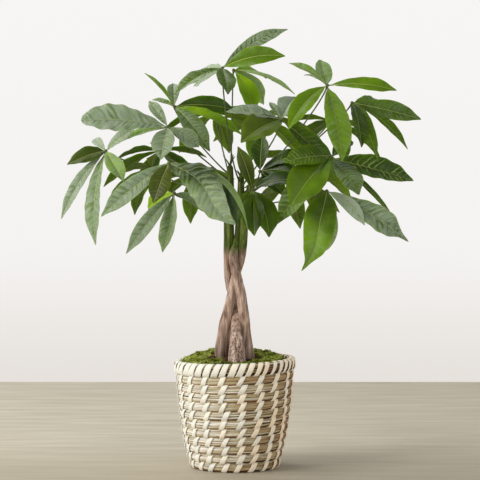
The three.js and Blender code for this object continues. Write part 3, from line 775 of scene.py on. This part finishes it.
def add_tuft(shape, x, y, rng):
    """A star of short pointed fronds."""
    foot = np.array((x, y, moss_height(x, y) + moss_bump(x, y) - 0.5))
    lean = np.array((x, y, 0)) / MOSS_RADIUS * 0.35
    shade = rng.uniform(-0.12, 0.2)
    for _ in range(TUFT_FRONDS):
        way = rng.uniform(0, 2 * math.pi)
        spread = rng.uniform(0.15, 1.0)
        direction = unit(spread * toward(way) + UP + lean)
        side = unit(np.cross(direction, (math.sin(way), -math.cos(way), 0.2)))
        front = np.cross(side, direction)
        length = rng.uniform(2.0, 4.4)
        wide = rng.uniform(0.28, 0.5)
        bend = toward(way, -0.6) * length * 0.22
        middle = foot + direction * length * 0.55
        tip = foot + direction * length + bend
        corners = (side * wide, -side * wide * 0.6 + front * wide, -side * wide * 0.6 - front * wide)
        points = [foot + corner for corner in corners] + [middle + corner for corner in corners] + [tip]
        faces = [[0, 1, 4, 3], [1, 2, 5, 4], [2, 0, 3, 5], [3, 4, 6], [4, 5, 6], [5, 3, 6], [2, 1, 0]]
        tones = [shade - 0.22] * 3 + [shade] * 3 + [shade + 0.16]
        shape.add(points, faces, tone=tones)


# ---- Trunks ----

BARK_SIDES = 60
BARK_STEP = 1.8
BARK_RIDGE = 0.45
BARK_SWELL = 0.9  # the trunks press on each other above their feet
BUD_SCALES = 6
SPECKLED = "trunk_centre"
SPECKLED_TO = 205


def cad_points(name):
    """The corners of a CAD node, each one once, in millimetres."""
    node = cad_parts[name]
    points = np.array([vertex.co for vertex in node.data.vertices], float) / MM
    return np.unique(points.round(3), axis=0)


def smooth_curve(where, knots, values):
    """Points at other places on a smooth curve through the knots (Catmull-Rom)."""
    slopes = np.gradient(values, knots, axis=0)
    index = np.clip(np.searchsorted(knots, where, side="right") - 1, 0, len(knots) - 2)
    span = knots[index + 1] - knots[index]
    t = np.clip((where - knots[index]) / span, 0, 1)[:, None]
    span = span[:, None]
    start, end = values[index], values[index + 1]
    return (
        start * (1 + 2 * t) * (1 - t) ** 2
        + end * t * t * (3 - 2 * t)
        + slopes[index] * span * t * (1 - t) ** 2
        - slopes[index + 1] * span * t * t * (1 - t)
    )


class Trunk:
    """A trunk's line and thickness, as the rings of its CAD solid give them."""

    def __init__(self, name):
        points = cad_points(name)
        heights = np.unique(points[:, 2].round(1))
        rings = [points[np.abs(points[:, 2] - height) < 0.1] for height in heights]
        rings = [ring for ring in rings if len(ring) > 2]
        self.name = name
        self.heights = np.array([ring[:, 2].mean() for ring in rings])
        self.centres = np.array([ring.mean(axis=0) for ring in rings])
        self.radii = np.array([np.linalg.norm(ring - ring.mean(axis=0), axis=1).mean() for ring in rings])
        self.foot, self.top = self.heights[0], self.heights[-1]

    def at(self, height):
        """The centre and the radius at a height."""
        height = np.clip(height, self.foot, self.top)
        radius = np.interp(height, self.heights, self.radii)
        return smooth_curve(height, self.heights, self.centres), radius

    def distance(self, x, y):
        """How far a place on the ground is from the bark."""
        centre, radius = self.at(np.array([150.0]))
        return math.hypot(x - centre[0, 0], y - centre[0, 1]) - radius[0]


def bark_relief(point, height):
    """Long ridges and small knobs, from -1 to 1 or so."""
    x, y, _ = point
    long_ridges = noise_at(x * 0.38, y * 0.38, height * 0.028)
    fine_ridges = noise_at(x * 0.95, y * 0.95, height * 0.09 + 9)
    knobs = noise_at(x * 0.7, y * 0.7, height * 0.55 + 20)
    return 0.9 * long_ridges + 0.55 * fine_ridges + 0.5 * knobs


def make_trunk(trunk, materials):
    shape = Shape()
    heights = np.arange(trunk.foot, trunk.top, BARK_STEP)
    centres, radii = trunk.at(heights)
    points = []
    for height, centre, radius in zip(heights, centres, radii):
        rough = BARK_RIDGE * (0.35 + 0.65 * min(1, radius / 8))
        swell = BARK_SWELL * soft_step(height, 185, 205)
        for angle in turns(BARK_SIDES):
            way = toward(angle)
            reach = radius * (1 + 0.04 * math.sin(3 * angle + height * 0.05)) + swell
            points.append(centre + way * (reach + rough * bark_relief(centre + way * reach, height)))
    top = trunk.at(np.array([trunk.top]))[0][0]
    points.append(top + 5 * UP)
    faces = tube_faces(len(heights), BARK_SIDES, pointed=True)
    pale = 0.12 + 0.88 * (trunk.name == SPECKLED) * (1 - soft_step(heights, SPECKLED_TO - 25, SPECKLED_TO))
    shape.add(points, faces, pale=np.r_[np.repeat(pale, BARK_SIDES), 0.1])
    add_buds(shape, top, trunk.name)
    shape.build(trunk.name + "_bark", materials, "bark", trunk.name)


def add_buds(shape, top, name):
    """Narrow pointed scales round the growing tip."""
    rng = random.Random(name)
    steps = np.linspace(0, 1, 7)[:, None]
    for k in range(BUD_SCALES):
        way = 2.4 * k + rng.uniform(-0.3, 0.3)
        lean = rng.uniform(0.15, 0.55)
        length = rng.uniform(9, 17)
        rise = (lean * toward(way) + UP) * length
        hook = toward(way) * length * 0.25
        path = top + rise * steps + hook * steps**2
        add_tube(shape, path, 1.25 * (1 - steps[:, 0]) ** 0.7 + 0.12, 6, 1)


# ---- Leaves ----

LEFT, RIGHT, CENTRE = "trunk_left", "trunk_right", "trunk_centre"

# How a leaflet looks, where it gives nothing else. Its middle stands up by arch and to its side by
# bow, as shares of its length. Roll turns it on its own line, in degrees, full moves its widest
# place outward, hook bends it like an S, tail narrows its end and blunt widens it. Quilt is how
# far it bulges between its veins, and stripes how strongly the painted shade in the creases between
# them and the painted highlight on the cushions show. Brown tints it, and deep makes its foot as
# much deeper green, without the painted sheen.
USUAL_BLADE = dict(
    arch=0.07, bow=0, roll=0, full=1.25, hook=0, tail=0.3, blunt=0, quilt=0.5, wave=0.04, stripes=0.25,
    brown=0, deep=0)
BLADE_FOLD = 0.28  # the slope of a leaflet's two halves
PLAIN = {"quilt": 0.2, "stripes": 0}
FLAT = {"quilt": 0.1, "stripes": 0}



def to(x, y, z, width=None, **looks):
    """A leaflet that reaches to a tip."""
    return (x, y, z), width, looks


# Each leaf: the trunk that it grows from and the height of its stalk's foot there, the hub where
# its leaflets meet, the way it faces, how bright its green is, partly for its age and partly as
# painted light and shade, how grey it is, partly dusty and partly with a painted sheen, and its leaflets.
FRONT_LEAVES = [
    (CENTRE, 384, (-86, -120, 418), (0.05, -0.8, 0.6), 0.4, 0.7, [
        to(-173, -150, 348, 26, roll=-12, stripes=0.5),
        to(2, -170, 338, 48, bow=-0.025, full=1, hook=-0.09, quilt=2.4, wave=0.1, stripes=0.4, frost=0.85,
           young=0.7, deep=0.7),
        to(-105, -150, 365, 28, young=0.1, frost=0, brown=0.4),
        to(17, -150, 331, 9, bow=-0.19, young=0.75, frost=0.55, stripes=0, quilt=0),
        to(5, -125, 335, 44, bow=-0.05, young=0.05, frost=0, stripes=0)]),
    (LEFT, 351, (121, -110, 381), (0, -0.85, 0.5), 0.5, 0.1, [
        to(86, -160, 278, 42, bow=-0.05, full=0.8, hook=0.04, tail=0.5, quilt=0.3, stripes=0, frost=0.14,
           deep=0.4),
        to(105, -110, 292, 36, bow=-0.07, frost=0.6),
        to(170, -130, 336, 18, bow=-0.07, roll=20, frost=1.1),
        to(229, -110, 314, 34, full=1.5, young=0.2, frost=0.6, tail=0.6, wave=0.08, quilt=0.3,
           stripes=0.1),
        to(94, -70, 327, 7, frost=0.8)]),
    (LEFT, 385, (123, -80, 521), (0.1, -0.7, 0.7), 0.5, 0.1, [
        to(139, -150, 419, 36, roll=-10, quilt=1.0, stripes=0.15, young=0.6, frost=0.2),
        to(70, -130, 461, 28, bow=0.05, roll=4, quilt=0.2, stripes=0.1),
        to(214, -100, 513, 22, full=1.4, roll=12, **FLAT),
        to(72, -70, 551, 13, bow=0.05, **FLAT, frost=0.4),
        to(114, -50, 557, 22, arch=0.03, full=1, blunt=0.3, **FLAT, frost=0.5),
        to(94, -20, 538, 10, frost=0.6)]),
    (LEFT, 361, (126, -100, 427), (-0.2, -0.85, 0.5), 0.4, 0, [
        to(72, -150, 361, 50, roll=-5, quilt=0.2, stripes=0.05),
        to(63, -130, 418, 34, full=1.1, quilt=1.2, stripes=0.5),
        to(57, -95, 338, 36, quilt=0.8, stripes=0.8, frost=0.2)]),
    (LEFT, 343, (24, -80, 382), (0, -0.7, 0.7), 0.2, 0, [
        to(26, -120, 322, 31, roll=15, young=0.15, **PLAIN),
        to(45, -115, 320, 33, roll=-15, bow=-0.06, **PLAIN),
        to(58, -100, 337, 22, roll=-20),
        to(86, -110, 395, 27, arch=0.12, young=0, **PLAIN),
        to(4, -90, 440, 20, roll=-15, **PLAIN, brown=0.3),
        to(-2, -100, 340, 26)]),
    (RIGHT, 388, (62, -60, 476), (-0.1, -0.6, 0.8), 0.25, 0.1, [
        to(8, -110, 444, 44, full=1, roll=-12, **FLAT, frost=0, brown=0.3),
        to(-12, -70, 486, 27, frost=0.8, quilt=0.9),
        to(47, -30, 501, 10, frost=0.6),
        to(84, -10, 509, 32, frost=0.9),
        to(135, -60, 401, 34)]),
    (CENTRE, 352, (-81, -70, 378), (-0.1, -0.8, 0.6), 0.5, 0.6, [
        to(-143, -110, 298, 21, roll=-22, frost=0.8),
        to(-96, -90, 299, 25, roll=18, bow=-0.04),
        to(-118, -40, 358, 24, roll=-15, young=0.95, frost=0),
        to(-40, -30, 352, 22)]),
    (CENTRE, 396, (-90, -50, 467), (-0.15, -0.85, 0.5), 0.3, 0.7, [
        to(-205, -75, 475, 42, full=1.8, quilt=1.1, blunt=0.6, wave=0.08),
        to(-176, 20, 437, 24, roll=25, young=0.55, frost=0.2),
        to(-98, -85, 422, 32),
        to(-48, -40, 440, 25, full=1.5),
        to(-117, -20, 503)]),
    (CENTRE, 374, (-176, -20, 435), (-0.2, -0.85, 0.5), 0.4, 0.6, [
        to(-228, -30, 416, 25, full=0.9, young=0.1, frost=0, brown=0.25, stripes=0),
        to(-234, -50, 342, 18, bow=0.03, frost=0.9),
        to(-185, -80, 308, 27, roll=25, bow=0.04),
        to(-149, -60, 393, 24, roll=-18, young=0.75, frost=0.5),
        to(-136, -30, 465, 17, frost=1.0),
        to(-196, 30, 452, 14, frost=1.0)]),
    (RIGHT, 394, (-17, -30, 547), (0.05, -0.75, 0.65), 0.4, 0.3, [
        to(73, -10, 601, 20, bow=-0.035, roll=10, quilt=1.0, stripes=0.6, young=0.15, frost=0.6),
        to(68, -60, 561, 27, bow=-0.04, full=1.15, roll=25, **FLAT, frost=0, young=0.45),
        to(-81, -60, 509, 25, bow=0.04, roll=20, young=0.25),
        to(-9, -95, 508, 27, roll=-15, young=0.25),
        to(-57, -5, 523, 30, arch=0, roll=15, young=0.6, frost=0.9, **FLAT),
        to(-46, 20, 549, 20, arch=0, young=0.6, frost=0.9, **FLAT)]),
    (LEFT, 378, (159, -30, 500), (0.25, -0.65, 0.7), 0.3, 0, [
        to(252, -40, 477, 28, arch=0.02, roll=25, **FLAT, wave=0, frost=0.2),
        to(232, -60, 436, 17, bow=-0.04),
        to(190, -90, 419, 20, full=0.75, roll=15, tail=0.5),
        to(167, -100, 438, 27, roll=-15, young=0.1),
        to(215, 50, 489)]),
    (LEFT, 367, (131, -20, 425), (0.2, -0.75, 0.6), 0.3, 0.1, [
        to(243, -30, 394, 41, arch=0.045, bow=0.025, quilt=0.6, stripes=0.85, young=0.15),
        to(215, -50, 343, 9),
        to(166, -70, 375, 35, full=1.6, frost=0.4, deep=0.3),
        to(90, 30, 388),
        to(161, 50, 453)]),
    (CENTRE, 405, (-84, 20, 497), (0, -0.6, 0.8), 0.35, 0.3, [
        to(-34, -25, 434, 28, roll=15, quilt=0.9),
        to(11, 0, 456, 28, roll=-12, young=0.75, frost=0),
        to(1, 35, 492, 27, arch=0.04, bow=-0.04, roll=30, young=0.1, frost=0, **PLAIN),
        to(-124, 0, 542, 10, young=0.8),
        to(-87, 60, 531, 18, frost=0.6),
        to(-116, 40, 507)]),
    (LEFT, 372, (34, -30, 407), (0, -0.6, 0.8), 0.1, 0, [
        to(84, -60, 404, 26, roll=15),
        to(37, -5, 458, 26, roll=-20),
        to(66, -55, 374, 26),
        to(98, -20, 432, 26)]),
    (CENTRE, 410, (-2, 50, 549), (0.1, -0.5, 0.85), 0.65, 0, [
        to(25, 20, 488, 30, bow=-0.05, full=1.5, **PLAIN),
        to(84, 40, 514, 13, bow=-0.05, frost=0.6),
        to(41, 90, 502, 26, roll=60, young=0.9, frost=0.7),
        to(45, 110, 540)]),
]

# At the back the leaflets are spread by a rule, so a leaf has its longest length instead.
BACK_LEAVES = [
    (CENTRE, 388, (-107, 100, 438), (-0.2, 0.4, 0.9), 0.35, 0.1, 100),
    (CENTRE, 362, (-118, 75, 412), (-0.4, 0.5, 0.75), 0.4, 0.1, 82),
    (CENTRE, 400, (-29, 110, 492), (-0.1, 0.4, 0.9), 0.6, 0, 95),
    (CENTRE, 372, (-60, 112, 402), (-0.1, 0.6, 0.8), 0.5, 0, 90),
    (RIGHT, 390, (39, 120, 484), (0.1, 0.4, 0.9), 0.6, 0, 100),
    (RIGHT, 376, (136, 110, 481), (0.3, 0.3, 0.9), 0.4, 0, 95),
    (LEFT, 374, (94, 98, 428), (0.3, 0.5, 0.8), 0.5, 0, 100),
    (LEFT, 350, (74, 98, 396), (0.1, 0.6, 0.8), 0.3, 0, 92),
]

SPREAD_COUNT = 6
SPREAD_ANGLE = 4.4
SPREAD_DROOP = 0.3
SIDE_LENGTH_SHARE = 0.6
BLADE_START = 1.1
BLADE_WIDTH_SHARE = 0.29
BLADE_WAVE = 0.06
BEND_STEP = 8
BEND_TRIES = 9
BEND_DROP = 14
TIP_MATCH = 0.3  # a CAD corner this close to a listed tip is that tip

BLADE_ROWS = 66
BLADE_COLUMNS = 15
BLADE_THICKNESS = 0.5
VEIN_PAIRS = 14
VEINED_LENGTH = 75  # a shorter leaflet has fewer veins
VEIN_SWEEP = 0.55
VEIN_STAGGER = 0.45  # the veins of one half start between those of the other
RIB_GROOVE = 0.45
RIB_KEEL = 1.0
KNOB_RADIUS = 2.5


def spread_tips(hub, facing, longest):
    """The leaflets of a leaf at the back, fanned out from its hub, the middle one longest."""
    up = unit(np.array(facing, float))
    outward = np.array((hub[0], hub[1], 0), float)
    outward = unit(outward - up * outward.dot(up))
    across = np.cross(up, outward)
    tips = []
    for k in range(SPREAD_COUNT):
        angle = (k / (SPREAD_COUNT - 1) - 0.5) * SPREAD_ANGLE
        share = SIDE_LENGTH_SHARE + (1 - SIDE_LENGTH_SHARE) * math.cos(angle / 2) ** 2
        way = outward * math.cos(angle) + across * math.sin(angle) - up * SPREAD_DROOP
        tips.append(to(*(np.array(hub) + unit(way) * share * longest)))
    return tips


def tip_choices(tip):
    """Where a tip may hang: as listed, else bent forward or back, and at last also down."""
    tip = np.array(tip, float)
    yield tip
    for drop in (0, BEND_DROP, 2 * BEND_DROP):
        for n in range(0 if drop else 1, BEND_TRIES + 1):
            for way in (1, -1) if n else (1,):
                yield tip + (0, way * n * BEND_STEP, -drop)


def built_tip(corners, tip):
    """The choice that the CAD leaf took, which is clear of its neighbours."""
    for choice in tip_choices(tip):
        if np.linalg.norm(corners - choice, axis=1).min() < TIP_MATCH:
            return choice
    raise ValueError(f"no CAD leaflet ends at {tip}")


def blade_outline(share, full, tail, blunt):
    """Half a leaflet's width against its greatest: a narrow foot, and a drawn-out tip."""
    body = np.sin(math.pi * np.clip(share, 0, 1) ** full).clip(0) ** (0.75 * (1 - 0.6 * blunt))
    foot = 0.25 + 0.75 * soft_step(share, 0.0, 0.16)
    return body * foot * (1 - tail * (1 - blunt) * soft_step(share, 0.86 - 0.2 * tail, 0.98 - 0.1 * tail))


def add_leaflet(shape, hub, tip, width, looks, facing, rng):
    """A blade with a grooved rib, quilted between its side veins, as an upper sheet and an under sheet."""
    length = np.linalg.norm(tip - hub)
    along = (tip - hub) / length
    up = unit(facing - along * facing.dot(along))
    side = np.cross(along, up)
    rows = np.linspace(0, 1, BLADE_ROWS + 1)[:-1]
    share = (BLADE_START / length + (1 - BLADE_START / length) * rows)[:, None]
    spread = np.linspace(-1, 1, BLADE_COLUMNS)[None, :]
    part = np.sign(spread) * np.abs(spread) ** 1.4
    half = np.maximum(0.75, width / 2 * blade_outline(share, looks["full"], looks["tail"], looks["blunt"]))
    across = half * part
    distance = np.abs(across)

    wave = BLADE_WAVE * half * np.sin(11 * share + length)
    frill = looks["wave"] * half * np.sin(share * length / 3.2 + rng.uniform(0, 6)) * np.abs(part) ** 3
    fold = BLADE_FOLD * half * (np.abs(part) + 0.22 * np.sin(math.pi * np.abs(part)))
    vein_gap = max(length, VEINED_LENGTH) / VEIN_PAIRS
    vein = (share * length - VEIN_SWEEP * distance - 0.012 * distance**2) / vein_gap
    vein += VEIN_STAGGER * (part < 0)
    cushion = np.abs(np.sin(math.pi * vein)) ** 0.7 - 0.6
    margin = np.sin(math.pi * np.abs(part) ** 0.8) ** 0.6
    quilt = looks["quilt"] * min(1, width / 30) * cushion * margin * soft_step(share, 0.05, 0.2)
    groove = RIB_GROOVE * np.exp(-((distance / 1.1) ** 2)) * (1 - share)
    lift = fold - wave * part * np.abs(part) + frill + quilt - groove

    arc = 4 * length * share * (1 - share)
    bowed = looks["bow"] * arc + looks["hook"] * length * np.sin(2 * math.pi * share) * share
    twist = math.radians(looks["roll"]) + math.radians(rng.uniform(-12, 12)) * (share - 0.5)
    level, tipped = np.cos(twist), np.sin(twist)
    out = bowed + across * level + lift * tipped
    rise = looks["arch"] * arc - across * tipped + lift * level
    middle = hub + along * (share * length)[..., None] + side * out[..., None] + up * rise[..., None]

    keel = RIB_KEEL * np.exp(-((distance / 1.3) ** 2)) * (1 - share) ** 0.6
    depth = BLADE_THICKNESS * (1 - np.abs(part) ** 4) + keel
    under = middle - (side * tipped[..., None] + up * level[..., None]) * depth[..., None]
    deep = looks["deep"] * (1 - soft_step(share + 0.12 * part, 0.35, 0.65))
    marks = {"stripes": looks["stripes"], "brown": looks["brown"]}
    for name, values, at_tip in (
        ("young", looks["young"] - deep, looks["young"]),
        ("frost", looks["frost"] * (1 - deep), looks["frost"]),
        ("side", spread, 0),
        ("vein", vein, vein[-1, -1]),
        ("rib", distance / (0.35 + 0.75 * (1 - share)), 0),
        ("edge", 1 - np.abs(part), 0),
    ):
        marks[name] = np.r_[np.broadcast_to(values, distance.shape).ravel(), at_tip]
    faces = grid_faces(BLADE_ROWS, BLADE_COLUMNS)
    end = BLADE_ROWS * BLADE_COLUMNS
    last = end - BLADE_COLUMNS
    faces += [[last + k, last + k + 1, end] for k in range(BLADE_COLUMNS - 1)]
    shape.add(np.vstack([middle.reshape(-1, 3), tip]), [face[::-1] for face in faces], 0, **marks)
    shape.add(np.vstack([under.reshape(-1, 3), tip]), faces, 1, **marks)


def bezier(points, share):
    a, b, c, d = (np.asarray(point, float) for point in points)
    share = share[:, None]
    rest = 1 - share
    return a * rest**3 + 3 * b * rest**2 * share + 3 * c * rest * share**2 + d * share**3


def add_stalk(shape, trunk, foot, hub, facing):
    """The stalk, thicker at both ends, which leaves the bark and comes up under the leaf."""
    centre, radius = trunk.at(np.array([float(foot)]))
    centre, radius = centre[0], radius[0]
    outward = unit(np.array((hub[0] - centre[0], hub[1] - centre[1], 0)))
    start = centre + outward * (radius * 1.04)
    reach = np.linalg.norm(hub - start)
    rise = start + outward * 0.15 * reach + 0.12 * reach * UP
    share = np.linspace(0, 1, 30)
    path = bezier((start, rise, hub - facing * 0.16 * reach, hub), share)
    path = np.vstack([centre + outward * radius * 0.4, path])
    share = np.r_[0, share]
    radii = 1.0 + 1.0 * np.exp(-share * 22) + 0.75 * soft_step(share, 0.9, 1.0)
    add_tube(shape, path, radii, 10, 2)


def add_knob(shape, hub, facing):
    """The small swelling where the leaflets meet."""
    rings, sides = 7, 12
    tilt = Vector(UP).rotation_difference(Vector(facing)).to_matrix()
    points = []
    for ring in range(rings):
        polar = math.pi * (ring + 0.5) / rings
        lift = 0.8 * KNOB_RADIUS * math.cos(polar)
        for way in turns(sides):
            reach = KNOB_RADIUS * (1 + 0.12 * math.sin(5 * way)) * math.sin(polar)
            points.append(hub + np.array(tilt @ Vector(reach * toward(way) + lift * UP)))
    shape.add(points, [face[::-1] for face in tube_faces(rings, sides)], 2)


def make_leaves(trunks, materials):
    by_name = {trunk.name: trunk for trunk in trunks}
    leaves = FRONT_LEAVES + BACK_LEAVES
    for number, (carrier, foot, hub, facing, young, frost, leaflets) in enumerate(leaves, 1):
        name = f"leaf_{number:02d}"
        if not isinstance(leaflets, list):
            leaflets = spread_tips(hub, facing, leaflets)
        rng = random.Random(number)
        corners = cad_points(name)
        hub = np.array(hub, float)
        facing = unit(np.array(facing, float))
        shape = Shape()
        for place, width, own in leaflets:
            tip = built_tip(corners, place)
            width = width or BLADE_WIDTH_SHARE * np.linalg.norm(tip - hub)
            tones = {"young": young + rng.uniform(-0.1, 0.1), "frost": frost + rng.uniform(-0.1, 0.1)}
            tones["frost"] = max(0, tones["frost"])
            looks = {**USUAL_BLADE, **tones, **own}
            add_leaflet(shape, hub, tip, width, looks, facing, rng)
        add_stalk(shape, by_name[carrier], foot, hub, facing)
        add_knob(shape, hub, facing)
        shape.build(name + "_fine", materials, "leaf", name)


# ---- Inside the basket, and the floor ----


def paint_node(name, material):
    """A CAD node that stays as it is, with a finished surface."""
    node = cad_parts[name]
    if not node.material_slots:
        node.data.materials.append(material)
    for slot in node.material_slots:
        slot.material = material


def make_floor():
    half = FLOOR_HALF * MM
    corners = [(-half, -half, 0), (half, -half, 0), (half, half, 0), (-half, half, 0)]
    mesh = bpy.data.meshes.new("floor")
    mesh.from_pydata(corners, [], [[0, 1, 2, 3]])
    mesh.materials.append(floor_paint())
    made = add_object("floor", mesh)


add_camera()
add_studio()
make_floor()
paint_node("grow_pot", plastic_paint())
paint_node("soil", soil_paint())
trunk_lines = [Trunk(name) for name in (LEFT, RIGHT, CENTRE)]
stalk_material = stalk_paint()
trunk_materials = [bark_paint(), stalk_material]
for trunk_line in trunk_lines:
    make_trunk(trunk_line, trunk_materials)
make_basket()
make_moss(trunk_lines)
make_leaves(trunk_lines, [leaf_paint("leaf_upper", True), leaf_paint("leaf_under", False), stalk_material])
